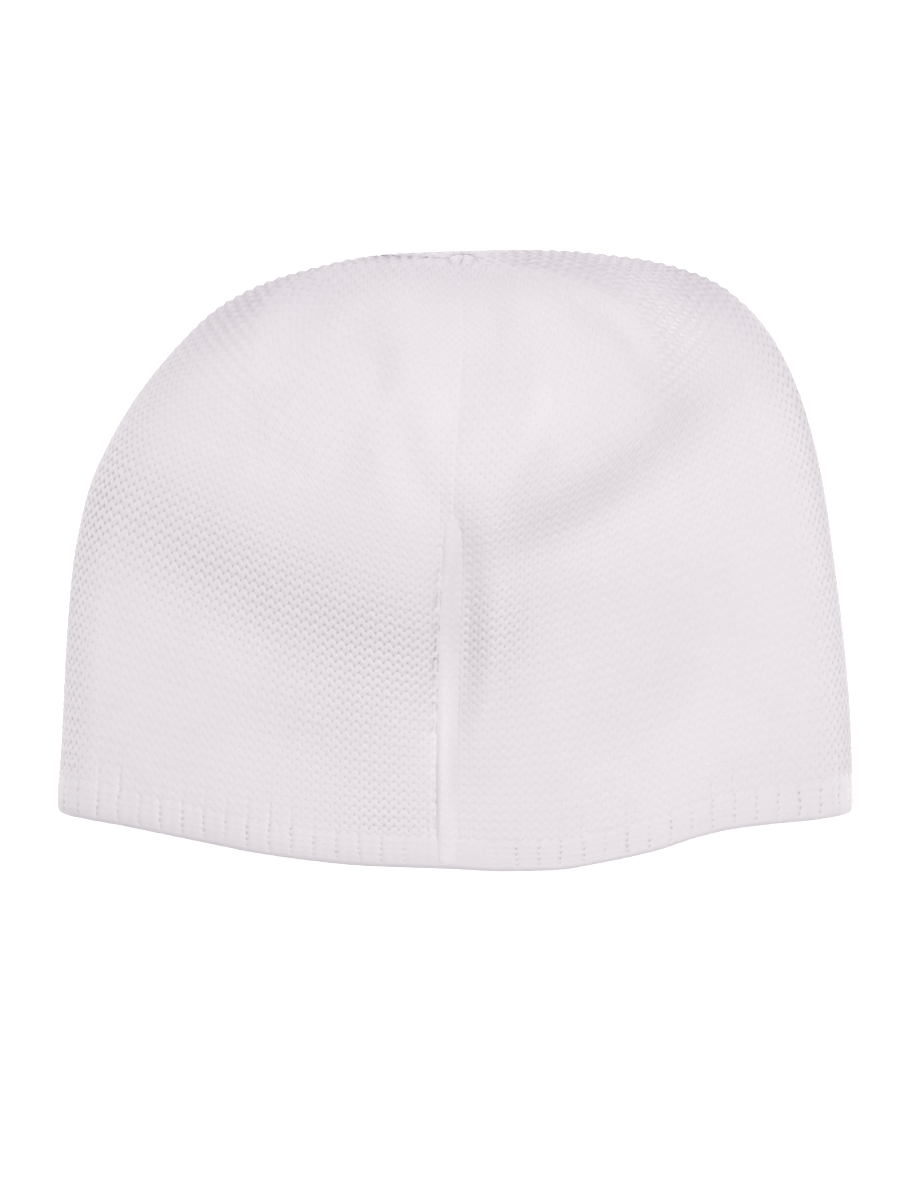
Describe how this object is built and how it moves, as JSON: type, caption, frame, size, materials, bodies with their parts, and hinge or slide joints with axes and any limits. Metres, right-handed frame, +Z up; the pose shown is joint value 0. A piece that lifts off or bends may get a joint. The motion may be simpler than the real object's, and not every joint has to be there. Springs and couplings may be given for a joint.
{
  "type": "knitted newborn hat",
  "caption": "Knitted newborn hat lying flat on its front, back seam up, with a ribbed hem, a round crown with decrease lines and an open mouth for the head.",
  "frame": {"origin": "middle of the hat's outline as it lies, on the floor under it", "axes": "+X from the left side fold to the right one, +Y from the hem to the crown, +Z up out of the back of the hat"},
  "size_m": [0.1648, 0.1287, 0.0403],
  "materials": {
    "knit": "soft plain knit",
    "rib": "soft ribbed knit",
    "seam": "linked knit seam",
    "closure": "drawn yarn"
  },
  "bodies": {
    "root": {"knit_shell": "knit", "rib_hem": "rib", "back_seam": "seam", "crown_closure": "closure"}
  },
  "joints": []
}
